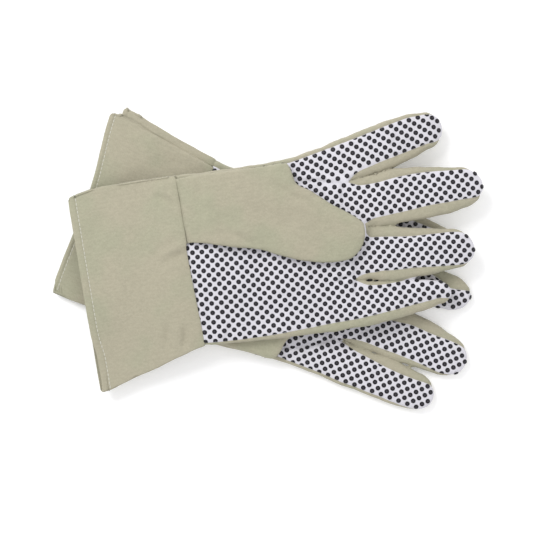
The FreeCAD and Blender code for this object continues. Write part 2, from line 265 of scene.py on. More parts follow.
# Where each finger's own panels start, its knuckle and its middle joint, along the glove.
LINKS = {
    "index": (118, 121, 154),
    "middle": (118, 127.5, 165.5),
    "ring": (110, 126.5, 159.5),
    "pinky": (110, 114, 143),
}
# Neighbouring fingers that lie against each other, and how far along.
PRESSED = {
    "left": {
        ("middle", "index"): (120, 150, 0.7),
        ("ring", "middle"): (127, 136, 0.6),
        ("pinky", "ring"): (112, 142, 0.5),
    },
    "right": {("middle", "index"): (121, 164, 0.75), ("ring", "middle"): (126, 150, 0.6)},
}
# How many degrees each of the left glove's fingers droops from its knuckle.
DROOPS = {"index": 9.0, "middle": 4.0, "ring": 4.0, "pinky": 4.0}

THUMB_ROOT = [
    (-1.5, 12, 59.6), (10, 11, 59.6), (20, 8, 59.4), (30, 5.4, 58.8), (40, 3, 58.2), (50, 0, 57.8),
    (60, -5, 57.7), (70, -9, 57.5),
]
THUMB_TIP = [
    (98, -17.4, 29.8), (105, -17.8, 23.9), (112, -16.9, 18), (118, -13.5, 12.9), (122, -8.5, 9.8),
    (124.2, -4.2, 8),
]
THUMBS = {
    "left": Outline(
        THUMB_ROOT
        + [(76, -11.4, 57.2), (79.6, -12.8, 56.0), (80.9, -13.2, 51), (82.4, -13.8, 43.4), (90, -16, 36.6)]
        + THUMB_TIP,
        cap=(125.8, 3),
    ),
    "right": Outline(
        THUMB_ROOT
        + [(79, -12.4, 57.3), (83.2, -13.8, 55.6), (85.0, -14.5, 50.6), (86.6, -15, 43), (91.5, -16.3, 36.6)]
        + THUMB_TIP,
        cap=(125.8, 3),
    ),
}

# Cuffs, from the hem to the wrist; how far inside the low edge the seam between a cuff's two panels runs;
# and how far along its line of hem stitches is.
CUFFS = {
    "left": Outline(
        [
            (-75, -78.8, 57.0), (-74, -79.7, 58.2), (-70, -80.0, 59.5), (-60, -76.9, 61.6),
            (-30, -68.2, 62.2), (0, -60.2, 61.6), (0.6, -60.1, 61.6),
        ]
    ),
    "right": Outline(
        [
            (-75, -79.2, 58.6), (-74, -79.9, 59.4), (-70, -79.8, 60.2), (-50, -75.4, 61.2),
            (-30, -71.2, 61.4), (0, -65.2, 61.3), (0.6, -65.1, 61.3),
        ]
    ),
}
CUFF_SEAMS = {"left": -1, "right": 5.6}
HEM_LINES = {"left": -70.2, "right": -71.7}


def free_end(glove, t, back):
    """How far along the glove the hem is set from square, as two laid layers never end quite even."""
    if glove.name == "left":
        return -1.7 + 2.1 * (1 - back) * smooth(-t, 38, 58)
    return 3.0 * back - (1 - back) * (2.5 + 2.6 * smooth(-t, 19, 68) + 4.2 * smooth(t, -19, 56))


# Creases pressed into the cloth: along, across, angle from the glove's length, length, width, depth.
CREASES = {
    "left_hand": [
        (99.7, 40.1, -13, 30, 1.5, 1.16), (113.7, 28.5, 88, 18, 1.4, 1.01),
        (104.4, -29.5, 8, 14, 1.4, 1.16), (112.5, -34.5, 82, 15, 1.4, 1.01),
        (114.1, -21, 86, 13, 1.4, 1.01), (9, -30, 80, 26, 2.4, 0.58), (20, -52, 60, 16, 2.2, 0.58),
        (156, 61, 70, 14, 2.0, 0.58), (168, 20, 84, 16, 2.2, 0.51), (160, -22, 96, 16, 2.2, 0.51),
        (144, -50, 82, 14, 2.0, 0.51),
    ],
    "right_hand": [
        (102, 39.7, -28, 36, 1.6, 1.74), (96, 47, -40, 20, 1.6, 0.87), (118, 33, 70, 14, 1.5, 0.87),
        (155, 45, 84, 16, 2.2, 0.58), (166, 14, 88, 16, 2.2, 0.58), (150, 0, -10, 26, 2.4, 0.72),
    ],
    "left_thumb": [
        (78.2, 34.5, -36, 24, 2.6, 1.22), (72, 42, -20, 20, 3.0, 0.68),
        (38.6, 10.6, -31, 26, 2.8, 0.94), (30, 24, -50, 30, 5.0, 0.68), (64, 20, -28, 44, 7.0, 0.94),
        (98, 6, -20, 26, 5.0, 0.68), (14, 40, 84, 34, 3.2, 0.47),
    ],
    "right_thumb": [
        (60, 40, -10, 30, 3.0, 0.94), (80, 34, -34, 24, 2.6, 1.08), (36, 50, 20, 20, 2.4, 0.68),
    ],
    "left_cuff": [
        (-9.1, 5.1, 16, 20, 2.6, 1.44), (-15, 12, 24, 26, 3.4, 0.8), (-24, -47.5, 82, 18, 2.4, 1.28),
        (-11.7, -51.5, 84, 15, 2.2, 1.28), (-9.5, 45.6, -34, 16, 2.2, 1.12),
        (-30, 30, 80, 40, 6.0, 0.8), (-44, -20, 70, 46, 7.0, 0.8), (-58, 36, 60, 24, 5.0, 0.64),
    ],
    "right_cuff": [
        (-16, -44, 10, 26, 3.0, 1.12), (-30, -52, -14, 30, 5.0, 0.96), (-50, -46, 60, 26, 5.0, 0.8),
        (-50, 44, 70, 24, 4.0, 0.8), (-24, 50, 20, 24, 4.0, 0.8),
    ],
}


class Glove:
    """One glove's place: its own millimetres run along it from the wrist seam, across it to the thumb, and up
    from the underside of the hand."""

    def __init__(self, name):
        mount = MOUNTS[f"{name}_hand_opening"]
        self.name = name
        self.side = 1 if name == "left" else -1
        self.along = -Vector(mount["axis"])
        self.across = Vector((-self.along.y, self.along.x, 0)) * self.side
        wrist = Vector(mount["pos_m"]) + self.along * CUFF_REACH * MM - self.across * CUFF_LEAN * MM
        self.origin = wrist - Vector((0, 0, HAND_DEPTH / 2 * MM))
        self.hand = HANDS[name]
        self.fingers = FINGERS[name]

    def matrix(self):
        turn = Matrix((self.along, self.across, (0, 0, 1))).transposed().to_4x4()
        return Matrix.Translation(self.origin) @ turn @ Matrix.Scale(MM, 4)

    def spot(self, x, t, z=HAND_DEPTH):
        return self.matrix() @ Vector((x, t, z))

    def parting(self, low_finger, high_finger, x):
        """The line between two neighbouring fingers."""
        return (self.fingers[low_finger].at(x)[1] + self.fingers[high_finger].at(x)[0]) / 2

    def lane(self, finger, x, t):
        """How far inside a finger's lane a point is: between its partings, beyond its panels' start."""
        order = ["pinky", "ring", "middle", "index"]
        k = order.index(finger)
        inside = [x - LINKS[finger][0]]
        if k > 0:
            inside.append(t - self.parting(order[k - 1], finger, x))
        if k < 3:
            inside.append(self.parting(finger, order[k + 1], x) - t)
        return np.minimum.reduce(inside)

    def front(self, x, t):
        """How far inside the dotted front a point is, over the hand and all its fingers."""
        fronts = [part.front(x, t) for part in (self.hand, *self.fingers.values())]
        return np.maximum.reduce([*fronts, self.web(x, t)])

    def web(self, x, t):
        """The same for the cloth between the fingers, which is front up to just short of where they part."""
        webs = []
        for start, end, middle, half in WEBS[self.name]:
            aside = np.abs(t - middle)
            webs.append(np.minimum.reduce([x - start, end - 2.5 - 0.5 * aside - x, half - 1 - aside]))
        return np.maximum.reduce(webs)

    def sag(self, x, t):
        """How far the laid cloth sinks from flat: the left glove's fingers and cuff hang over the right's."""
        down = np.zeros_like(x)
        if self.name == "right":
            return down
        for finger, (_, fold, _) in LINKS.items():
            past = x - fold
            ramp = np.where(past < -8, 0, np.where(past > 8, past, (past + 8) ** 2 / 32))
            slope = math.tan(math.radians(DROOPS[finger]))
            down = np.where(self.lane(finger, x, t) > -0.01, slope * ramp, down)
        edge = 2.5 * smooth(-t, 15, 62) * smooth(-x, -150, -60)
        cuff = 4.5 * smooth(-x, 4, 70) + 1.5 * smooth(-x, 10, 70) * smooth(-t, 0, 70)
        return down + edge + cuff

    def palm_height(self, x, t):
        """Height of the palm under the folded thumb."""
        low, high = self.hand.at(np.clip(x, -4, 108))[:2]
        reach = 1.5 * ((high - low) / 2 - HAND_DEPTH / 2) + HAND_DEPTH / 2
        c = np.clip((np.clip(t, -60, 54) - (low + high) / 2) / reach, -0.667, 0.667)
        return HAND_DEPTH / 2 * (1 + np.sqrt(1 - c**2))


GLOVES = {name: Glove(name) for name in ("right", "left")}


def new_mesh(name, bm):
    """Turns a bmesh into a mesh, and frees it."""
    mesh = bpy.data.meshes.new(name)
    bm.to_mesh(mesh)
    bm.free()
    return mesh


def tube(
    bm, outline, depth, rise=0, plump=1.5, around=72, closed=True, start_share=1.0, swell=(0, 1), corner=None
):
    """A soft tube along an outline, wrapped from a grid: flat faced, round at its edges, thin towards a cap.
    It starts at a share of its depth and swells to all of it between two places."""
    rows = outline.fine
    part = bmesh.new()
    bmesh.ops.create_grid(part, x_segments=len(rows) - 1, y_segments=around, size=0.5)
    for v in part.verts:
        i = round((v.co.x + 0.5) * (len(rows) - 1))
        turn = (v.co.y + 0.5) * 2 * math.pi
        x, low, high = rows[i, :3]
        deep = depth * float(outline.fill(np.array([x]))[0])
        deep *= start_share + (1 - start_share) * float(smooth(x, *swell))
        half = (high - low) / 2
        r = min(half, deep / 2 if corner is None else corner)
        c, s = math.cos(turn), math.sin(turn)
        t = (low + high) / 2 + (half - r) * max(-1, min(1, plump * c)) + r * c
        v.co = (x, t, rise + depth / 2 + deep / 2 * s)
    bmesh.ops.remove_doubles(part, verts=part.verts, dist=0.01)
    if closed:
        bmesh.ops.holes_fill(part, edges=[e for e in part.edges if e.is_boundary])
    bmesh.ops.recalc_face_normals(part, faces=part.faces)
    mesh = new_mesh("part", part)
    bm.from_mesh(mesh)
    bpy.data.meshes.remove(mesh)


def fused(bm, grain, passes):
    """One even skin round overlapping closed parts, softened by a few passes of smoothing."""
    mesh = new_mesh("fused", bm)
    obj = bpy.data.objects.new("fused", mesh)
    bpy.context.scene.collection.objects.link(obj)
    remesh = obj.modifiers.new("Remesh", "REMESH")
    remesh.mode, remesh.voxel_size, remesh.adaptivity = "VOXEL", grain, 0
    bpy.context.view_layer.update()
    skin = bpy.data.meshes.new_from_object(obj.evaluated_get(bpy.context.evaluated_depsgraph_get()))
    bpy.data.objects.remove(obj)
    bpy.data.meshes.remove(mesh)
    bm = bmesh.new()
    bm.from_mesh(skin)
    every_way = {f"use_axis_{axis}": True for axis in "xyz"}
    for _ in range(passes):
        bmesh.ops.smooth_vert(bm, verts=bm.verts, factor=0.5, **every_way)
    bm.to_mesh(skin)
    bm.free()
    return skin


def pressed(glove, mesh):
    """Lets neighbouring fingers lie against each other just past where they part."""
    skin = Skin(glove, mesh)
    p = skin.points()
    for (low, high), (start, end, shift) in PRESSED[glove.name].items():
        away = p[:, 1] - glove.parting(low, high, p[:, 0])
        there = smooth(p[:, 0], start - 2, start + 4) * (1 - smooth(p[:, 0], end, end + 18))
        p[:, 1] -= np.tanh(away / 0.5) * shift * np.exp(-((away / 4) ** 2)) * there
    skin.move(p)
    return skin


def vectors(items, key):
    """One vector of every item in a mesh's list, a row each."""
    rows = np.empty(len(items) * 3, np.float32)
    items.foreach_get(key, rows)
    return rows.reshape(-1, 3)


class Skin:
    """A whole surface in a glove's own millimetres, from which its panels are cut."""

    def __init__(self, glove, mesh):
        self.glove, self.mesh = glove, mesh

    def points(self):
        return vectors(self.mesh.vertices, "co").astype(float)

    def normals(self):
        return vectors(self.mesh.vertex_normals, "vector").astype(float)

    def move(self, points):
        self.mesh.vertices.foreach_set("co", points.astype(np.float32).ravel())
        self.mesh.update()

    def remember(self):
        """Keeps where every point was in the flat, for the weave and for choosing the panels."""
        flat = self.mesh.attributes.new("cut", "FLOAT_VECTOR", "POINT")
        flat.data.foreach_set("vector", (self.points() * MM).astype(np.float32).ravel())

    def flat_centres(self):
        """The middle of every face as it was in the flat."""
        flat = vectors(self.mesh.attributes["cut"].data, "vector") / MM
        corner, start = self.corners()
        return np.add.reduceat(flat[corner], start, axis=0) / np.diff(np.append(start, len(corner)))[:, None]

    def corners(self):
        """The point at every face's corners, face after face, and where each face's own start."""
        corner = np.empty(len(self.mesh.loops), np.int32)
        self.mesh.loops.foreach_get("vertex_index", corner)
        start = np.empty(len(self.mesh.polygons), np.int32)
        self.mesh.polygons.foreach_get("loop_start", start)
        return corner, start

    def cut(self, field):
        """Cuts the faces that the field's zero line crosses: the field stands in for height as a plane cuts."""
        value = field(*self.points().T)
        value[np.abs(value) < 0.1] = 0
        corner, start = self.corners()
        low = np.minimum.reduceat(value[corner], start)
        high = np.maximum.reduceat(value[corner], start)
        bm = bmesh.new()
        bm.from_mesh(self.mesh)
        place = bm.verts.layers.float_vector.new("place")
        bm.faces.ensure_lookup_table()
        faces = [bm.faces[i] for i in np.flatnonzero((low < 0) & (high > 0))]
        faces = bmesh.ops.triangulate(bm, faces=faces)["faces"]
        verts = list({v for face in faces for v in face.verts})
        edges = list({e for face in faces for e in face.edges})
        for v in verts:
            v[place] = v.co
            v.co.z = value[v.index]
        geom = verts + edges + faces
        made = bmesh.ops.bisect_plane(bm, geom=geom, dist=1e-5, plane_co=(0, 0, 0), plane_no=(0, 0, 1))
        for v in set(verts) | {g for g in made["geom_cut"] if isinstance(g, bmesh.types.BMVert)}:
            v.co = v[place]
        bm.verts.layers.float_vector.remove(place)
        bm.to_mesh(self.mesh)
        bm.free()

    def groove(self, field, depth, width):
        """Draws the surface in along a seam, where the field is zero."""
        p = self.points()
        dip = depth * np.exp(-((field(*p.T) / width) ** 2))
        self.move(p - self.normals() * dip[:, None])

    def crease(self, creases, middle):
        """Presses creases into the upper side, each with a soft swell beside it."""
        p = self.points()
        up = smooth(p[:, 2], middle - 0.5, middle + 2.0)
        drop = np.zeros(len(p))
        for x, t, angle, length, width, depth in creases:
            a = math.radians(angle)
            u = (p[:, 0] - x) * math.cos(a) + (p[:, 1] - t) * math.sin(a)
            v = (p[:, 1] - t) * math.cos(a) - (p[:, 0] - x) * math.sin(a)
            v = v + 0.06 * width * np.sin(u / 3.1) + u**2 * 0.004
            line = np.exp(-((v / width) ** 2)) - 0.55 * np.exp(-(((v - 2.1 * width) / (1.3 * width)) ** 2))
            drop += depth * line * np.exp(-((2 * u / length) ** 4))
        p[:, 2] -= drop * up
        self.move(p)

    def ripple(self, height, size, seed):
        """Low uneven swells, as in washed cotton that was never pressed."""
        p = self.points()
        lift = [
            noise.noise(Vector((x / size, t / (size * 1.4), z / size + seed)))
            + 0.35 * noise.noise(Vector((x / size * 2.7 + seed, t / size * 2.7, z / size)))
            for x, t, z in p
        ]
        self.move(p + self.normals() * (np.array(lift) * height)[:, None])

    def chosen_faces(self, chosen):
        """A copy of the surface with the chosen faces alone."""
        bm = bmesh.new()
        bm.from_mesh(self.mesh)
        bm.faces.ensure_lookup_table()
        gone = [bm.faces[i] for i in np.flatnonzero(~chosen)]
        bmesh.ops.delete(bm, geom=gone, context="FACES")
        return bm

    def trim(self, start):
        """Cuts off and drops everything before start."""
        self.cut(lambda x, t, z: x - start)
        bm = self.chosen_faces(vectors(self.mesh.polygons, "center")[:, 0] > start)
        bm.to_mesh(self.mesh)
        bm.free()

    def panel(self, name, chosen):
        """A new object of the chosen faces, set in the glove's place on the ground."""
        bm = self.chosen_faces(chosen)
        if not bm.faces:
            raise RuntimeError(f"{name} has no cloth")
        if self.glove.side < 0:
            bmesh.ops.reverse_faces(bm, faces=bm.faces)
        bmesh.ops.transform(bm, matrix=self.glove.matrix(), verts=bm.verts)
        for e in bm.edges:
            e.smooth = not e.is_boundary
        return new_object(name, bm)


def new_object(name, bm):
    """A smooth shaded object of a bmesh."""
    for f in bm.faces:
        f.smooth = True
    obj = bpy.data.objects.new(name, new_mesh(name, bm))
    bpy.context.scene.collection.objects.link(obj)
    return obj


def attach(obj, glove, region):
    """Lets a piece follow its glove's body; a piece that a joint crosses only has its place baked into its
    mesh, and follows neither of the joint's bodies.
    """
    joint = JOINTS.get(f"{glove.name}_{region}_" + {"cuff": "fold", "thumb": "open"}.get(region, "bend"))
    if joint is None:
        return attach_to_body(obj, f"{glove.name}_glove")
    place = Vector(joint["pos_m"])
    if region == "cuff":
        spans = (glove.along * -2, glove.along * -14)
    elif region == "thumb":
        spans = (glove.across * 0, glove.across * -11)
    elif region.endswith("base"):
        spans = (glove.along * 0, glove.along * KNUCKLE_SPAN)
    else:
        spans = (glove.along * -CREASE_SPAN, glove.along * CREASE_SPAN)
    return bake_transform(obj, joint["parent"], joint["child"], place + spans[0] * MM, place + spans[1] * MM)


def finish_panel(obj, glove, node, region, material, thickness=None):
    """Gives a panel its cloth's thickness and finish, and puts it in its CAD node's place."""
    wall = obj.modifiers.new("Cloth", "SOLIDIFY")
    wall.thickness = thickness or bpy.context.scene.gloves.cloth_thickness
    wall.offset = -1
    obj.data.materials.append(bpy.data.materials[material])
    attach(obj, glove, region)
    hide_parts(node)
    "dotted_cotton" if material == "Dotted Cotton" else "cotton_drill"
    return obj


# ---------------------------------------------------------------------------------------------- materials


class Value:
    """A number that varies over a surface. Arithmetic on it adds Math nodes."""

    def __init__(self, paint, socket):
        self.paint, self.socket = paint, socket

    def math(self, operation, *values):
        return self.paint.node("ShaderNodeMath", {"operation": operation}, values)

    def __add__(self, other):
        return self.math("ADD", self, other)

    def __radd__(self, other):
        return self.math("ADD", other, self)

    def __mul__(self, other):
        return self.math("MULTIPLY", self, other)

    def __rmul__(self, other):
        return self.math("MULTIPLY", other, self)

    def sine(self):
        return self.math("SINE", self)


class Paint:
    """A material being built on a Principled shader."""

    def __init__(self, name):
        self.material = bpy.data.materials.new(name)
        self.material.use_nodes = True
        self.tree = self.material.node_tree
        self.shader = self.tree.nodes["Principled BSDF"]

    def node(self, kind, settings=None, inputs=(), output=0):
        """Adds a node with its settings, then the values or links of its sockets."""
        made = self.tree.nodes.new(kind)
        for key, value in (settings or {}).items():
            if key == "stops":
                ramp = made.color_ramp
                while len(ramp.elements) < len(value):
                    ramp.elements.new(0.5)
                for element, (place, colour) in zip(ramp.elements, value):
                    element.position, element.color = place, colour
            else:
                setattr(made, key, value)
        pairs = inputs.items() if isinstance(inputs, dict) else enumerate(inputs)
        for key, value in pairs:
            self.join(made.inputs[key], value)
        return Value(self, made.outputs[output])

    def join(self, socket, value):
        if isinstance(value, Value):
            self.tree.links.new(value.socket, socket)
        elif isinstance(value, (tuple, list)) and socket.type == "RGBA" and len(value) == 3:
            socket.default_value = (*value, 1)
        else:
            socket.default_value = value

    def set(self, **inputs):
        for name, value in inputs.items():
            self.join(self.shader.inputs[name.replace("_", " ")], value)

    def flat_place(self):
        """Where a point of the cloth was before it was creased and laid, in metres."""
        return self.node("ShaderNodeAttribute", {"attribute_name": "cut"}, output=1)

    def object_place(self):
        return self.node("ShaderNodeTexCoord", {}, output=3)

    def axes(self, place):
        """A place's first two numbers."""
        return [self.node("ShaderNodeSeparateXYZ", {}, [place], output=k) for k in range(2)]

    def mix(self, factor, a, b, blend="MIX"):
        settings = {"data_type": "RGBA", "blend_type": blend}
        return self.node("ShaderNodeMix", settings, {0: factor, 6: a, 7: b}, output=2)

    def tint(self, colour, share):
        return self.mix(1.0, colour, (share, share, share, 1), "MULTIPLY")

    def noise(self, place, size, detail=2.0, roughness=0.5):
        inputs = {"Vector": place, "Scale": 1 / size, "Detail": detail, "Roughness": roughness}
        return self.node("ShaderNodeTexNoise", {}, inputs)

    def grade(self, value, start, end):
        """A value spread so that it is 0 at start and 1 at end."""
        settings = {"interpolation_type": "SMOOTHSTEP"}
        return self.node("ShaderNodeMapRange", settings, {0: value, 1: start, 2: end, 3: 0.0, 4: 1.0})

    def bump(self, height, distance, strength=1.0):
        return self.node("ShaderNodeBump", {}, {"Height": height, "Distance": distance, "Strength": strength})


def linear(colour):
    """A display colour's value in linear light."""
    return tuple(c / 12.92 if c < 0.04045 else ((c + 0.055) / 1.055) ** 2.4 for c in colour)


def tinted(colour, share):
    return tuple(min(c * share, 1) for c in colour)


def waves(value, length):
    """A ripple of one wave for every length in metres."""
    return value * (2 * math.pi / length)


def drill_material(settings):
    paint = Paint("Cotton Drill")
    flat = paint.flat_place()
    x, t = paint.axes(flat)
    twill = (waves(x, 0.00078) + waves(t, 0.00112)).sine()
    weft = waves(t, 0.00052).sine()
    cloud = paint.grade(paint.noise(flat, 0.034, 2.0, 0.45), 0.40, 0.66)
    slub = paint.noise(flat, 0.0012, 3.0, 0.6)
    warm, green = linear(settings.drill_colour), linear(settings.drill_shade)
    ground = paint.mix(cloud, warm, green)
    drawn = paint.node("ShaderNodeVectorMath", {"operation": "MULTIPLY"}, [flat, (1.0, 2.6, 1.0)])
    streak = paint.grade(paint.noise(drawn, 0.0042, 3.0, 0.65), 0.34, 0.66)
    ground = paint.mix(streak, paint.tint(ground, 0.93), paint.tint(ground, 1.06))
    thread = paint.mix(paint.grade(twill * 0.3 + slub, 0.25, 0.8), tinted(warm, 0.70), tinted(warm, 1.24))
    paint.set(
        Base_Color=paint.mix(0.42, ground, thread),
        Roughness=0.84 + 0.1 * slub,
        Normal=paint.bump(twill * 0.5 + weft * 0.25 + slub * 1.4, 0.00012, 0.7),
        Specular_IOR_Level=0.25,
        Sheen_Weight=0.12,
        Sheen_Roughness=0.6,
    )
    return paint.material


def dotted_material(settings):
    paint = Paint("Dotted Cotton")
    flat = paint.flat_place()
    x, t = paint.axes(flat)
    wale = waves(t, 0.00085).sine()
    course = (waves(x, 0.0007) + wale * 0.8).sine()
    fuzz = paint.noise(flat, 0.0009, 3.0, 0.6)
    cloud = paint.grade(paint.noise(flat, 0.028, 2.0, 0.5), 0.38, 0.68)
    colour = linear(settings.dotted_colour)
    ground = paint.mix(cloud, colour, tinted(colour, 0.93))
    loops = paint.grade(wale * 0.25 + course * 0.2 + fuzz, 0.2, 0.8)
    stitch = paint.mix(loops, tinted(colour, 0.80), tinted(colour, 1.08))
    paint.set(
        Base_Color=paint.mix(0.5, ground, stitch),
        Roughness=0.86 + 0.08 * fuzz,
        Normal=paint.bump(wale * 0.5 + course * 0.4 + fuzz, 0.00014, 0.7),
        Specular_IOR_Level=0.2,
        Sheen_Weight=0.15,
    )
    return paint.material


def dot_material(settings, name="Grip Dots", share=1.0):
    paint = Paint(name)
    grain = paint.noise(paint.object_place(), 0.0007, 3.0, 0.6)
    colour = linear(settings.dot_colour)
    specks = paint.grade(grain, 0.3, 0.7)
    # A share above 1 paints the dots paler: this is the crowns' painted highlight.
    paint.set(
        Base_Color=paint.mix(specks, tinted(colour, 0.8 * share), tinted(colour, 1.5 * share)),
        Roughness=0.42 + 0.16 * grain,
        Normal=paint.bump(grain, 0.00006, 0.6),
        Specular_IOR_Level=0.3,
    )
    return paint.material


# The crowns' finish is the dots' finish painted paler, a painted highlight where light catches each dot's top.
def crown_highlight_material(settings):
    return dot_material(settings, "Dot Crowns", settings.crown_highlight_share)


def thread_material(settings):
    paint = Paint("Hem Thread")
    place = paint.object_place()
    x, y = paint.axes(place)
    twist = (x * 9000.0 + y * 11000.0).sine()
    fuzz = paint.noise(place, 0.0006, 2.0)
    colour = linear(settings.thread_colour)
    plies = paint.grade(twist * 0.3 + fuzz, 0.2, 0.8)
    paint.set(
        Base_Color=paint.mix(plies, tinted(colour, 0.85), tinted(colour, 1.08)),
        Roughness=0.62 + 0.15 * fuzz,
        Normal=paint.bump(twist * 0.5 + fuzz, 0.00008, 0.6),
    )
    return paint.material


def floor_material(settings):
    paint = Paint("Pale Floor")
    paint.set(
        Base_Color=linear(settings.floor_colour),
        Roughness=0.9 + 0.05 * paint.noise(paint.object_place(), 0.05),
        Specular_IOR_Level=0.0,
        Emission_Color=(1, 1, 1),
        Emission_Strength=0.15,
    )
    return paint.material


# ---------------------------------------------------------------------------------------------- settings


def length_setting(name, description, default):
    kind = {"unit": "LENGTH", "subtype": "DISTANCE"}
    return FloatProperty(name=name, description=description, default=default, **kind)


def colour_setting(name, description, default):
    return FloatVectorProperty(name=name, description=description, default=default, subtype="COLOR")


class GloveSettings(bpy.types.PropertyGroup):
    """Sizes and colours of the gloves."""

    cloth_thickness: length_setting("Cloth Thickness", "Thickness of one layer", 0.0008)
    cloth_grain: length_setting("Cloth Grain", "Size of the skin's faces", 0.00115)
    seam_depth: length_setting("Seam Depth", "How far a seam draws the cloth in", 0.00055)
    swell_height: length_setting("Swell Height", "Height of the low uneven swells", 0.0007)
    dot_diameter: length_setting("Dot Diameter", "Width of a grip dot", 0.00352)
    dot_height: length_setting("Dot Height", "How far a grip dot stands up", 0.0005)
    dot_pitch: length_setting("Dot Pitch", "Spacing of the dots in a row", 0.0066)
    dot_sides: IntProperty(name="Dot Sides", description="Sides of a dot's rim", default=12, min=6, max=24)
    stitch_length: length_setting("Stitch Length", "Length of one stitch", 0.0027)
    stitch_pitch: length_setting("Stitch Pitch", "Spacing of the stitches", 0.0029)
    thread_width: length_setting("Thread Width", "Width of the hem's thread", 0.0007)
    drill_colour: colour_setting("Drill Colour", "Main colour of the plain cloth", (0.660, 0.638, 0.560))
    drill_shade: colour_setting("Drill Shade", "Greener tint that clouds the cloth", (0.622, 0.628, 0.536))
    dotted_colour: colour_setting("Dotted Cloth Colour", "Ground of the dotted cloth", (0.845, 0.838, 0.866))
    dot_colour: colour_setting("Dot Colour", "Colour of the grip dots", (0.070, 0.064, 0.080))
    # How much paler the crowns are painted, as their painted highlight.
    crown_highlight_share: FloatProperty(name="Crown Highlight Share", description="How much paler a dot's crown is", default=5.0)
    thread_colour: colour_setting("Thread Colour", "Colour of the hem's stitches", (0.78, 0.775, 0.73))
    floor_colour: colour_setting("Floor Colour", "Colour of the floor", (0.97, 0.97, 0.975))
    key_power: FloatProperty(name="Key Light", description="Power of the key", default=15.0, unit="POWER")
    sky_strength: FloatProperty(name="Sky", description="Strength of the even light", default=0.80)


GLOVE_CHOICE = EnumProperty(
    name="Glove",
    description="Which glove is made",
    items=[("left", "Left", "The left glove"), ("right", "Right", "The right glove")],
)


# ---------------------------------------------------------------------------------------------- operators


class GLOVES_OT_cloths(bpy.types.Operator):
    """Mixes the finishes of the cloths, the dots, the thread and the floor"""

    bl_idname = "gloves.cloths"
    bl_label = "Cloths"

    def execute(self, context):
        cloths = (drill_material, dotted_material)
        for make in (*cloths, dot_material, crown_highlight_material, thread_material, floor_material):
            make(context.scene.gloves)
        return {"FINISHED"}


def hand_skin(glove, grain):
    """The skin of a hand with its fingers and the webs between them."""
    bm = bmesh.new()
    tube(bm, glove.hand, HAND_DEPTH, around=96, start_share=0.84, swell=(-2, 26))
    for finger, outline in glove.fingers.items():
        swell = (outline.fine[0, 0], LINKS[finger][1] + 4)
        tube(bm, outline, FINGER_DEPTH, rise=0.1, start_share=0.8, swell=swell)
    for start, end, centre, half in WEBS[glove.name]:
        sides = (centre - half, centre + half)
        web = Outline([(start, *sides), (end - 3, *sides)], cap=(end, centre))
        tube(bm, web, WEB_DEPTH, rise=0.4, start_share=0.8, swell=(start, start + 14))
    return pressed(glove, fused(bm, grain, 5))


def link_ends(glove):
    """Where the base link ends of each finger that has two: midway between its two bends."""
    ends = {}
    for finger, (_, fold, crease) in LINKS.items():
        if f"{glove.name}_{finger}_tip_bend" in JOINTS:
            ends[finger] = (fold + KNUCKLE_SPAN + crease - CREASE_SPAN) / 2
    return ends


class GLOVES_OT_hand(bpy.types.Operator):
    """Sews a glove's hand and fingers: the dotted front, the side strips and the back"""

    bl_idname = "gloves.hand"
    bl_label = "Hand and Fingers"
    glove: GLOVE_CHOICE

    def execute(self, context):
        settings = context.scene.gloves
        glove = GLOVES[self.glove]
        middle = HAND_DEPTH / 2
        skin = hand_skin(glove, settings.cloth_grain / MM)
        skin.trim(WRIST_END)

        def front(x, t, z):
            return np.minimum(glove.front(x, t), z - (middle - 1.2))

        def above_back(x, t, z):
            return z - BACK_SEAM

        skin.cut(front)
        skin.cut(above_back)
        for finger in LINKS:
            skin.cut(lambda x, t, z, finger=finger: glove.lane(finger, x, t))
        halves = link_ends(glove)
        for finger, half in halves.items():
            skin.cut(lambda x, t, z, f=finger, h=half: np.where(glove.lane(f, x, t) > 0, x - h, UNCUT))
        skin.remember()
        flat = skin.flat_centres()
        depth = settings.seam_depth / MM
        skin.groove(front, depth, 0.95)
        skin.groove(above_back, depth * 0.6, 0.8)
        skin.crease(CREASES[f"{glove.name}_hand"], middle)
        skin.ripple(settings.swell_height / MM, 13, 3.7 if glove.side > 0 else 8.1)
        p = skin.points()
        tucked = (1 - smooth(p[:, 0], -0.5, 4)) * smooth(p[:, 2], middle, middle + 2)
        p[:, 2] -= glove.sag(p[:, 0], p[:, 1]) + tucked
        skin.move(p)

        x, t, z = flat.T
        lanes = {f: glove.lane(f, x, t) > 0 for f in LINKS}
        hand = ~np.logical_or.reduce(list(lanes.values()))
        is_front = front(x, t, z) > 0
        is_back = ~is_front & (z < BACK_SEAM)
        is_side = ~is_front & ~is_back
        pieces = [
            ("palm_panel", hand & is_front, "hand", "Dotted Cotton"),
            ("back_panel", hand & (is_back | is_side & (t < 0)), "hand", "Cotton Drill"),
            ("hand_side_strip", hand & is_side & (t >= 0), "hand", "Cotton Drill"),
        ]
        kinds = (
            ("front", is_front, "Dotted Cotton"),
            ("back", is_back, "Cotton Drill"),
            ("sides", is_side, "Cotton Drill"),
        )
        for f, lane in lanes.items():
            links = {f: lane}
            if f in halves:
                links = {f"{f}_base": lane & (x < halves[f]), f"{f}_tip": lane & (x >= halves[f])}
            for link, there in links.items():
                for kind, mask, cloth in kinds:
                    pieces.append((f"{link}_{kind}", there & mask, link, cloth))
        for name, chosen, region, cloth in pieces:
            obj = skin.panel(f"{glove.name}_{name}_cloth", chosen)
            finish_panel(obj, glove, f"{glove.name}_{name}", region, cloth)
        return {"FINISHED"}


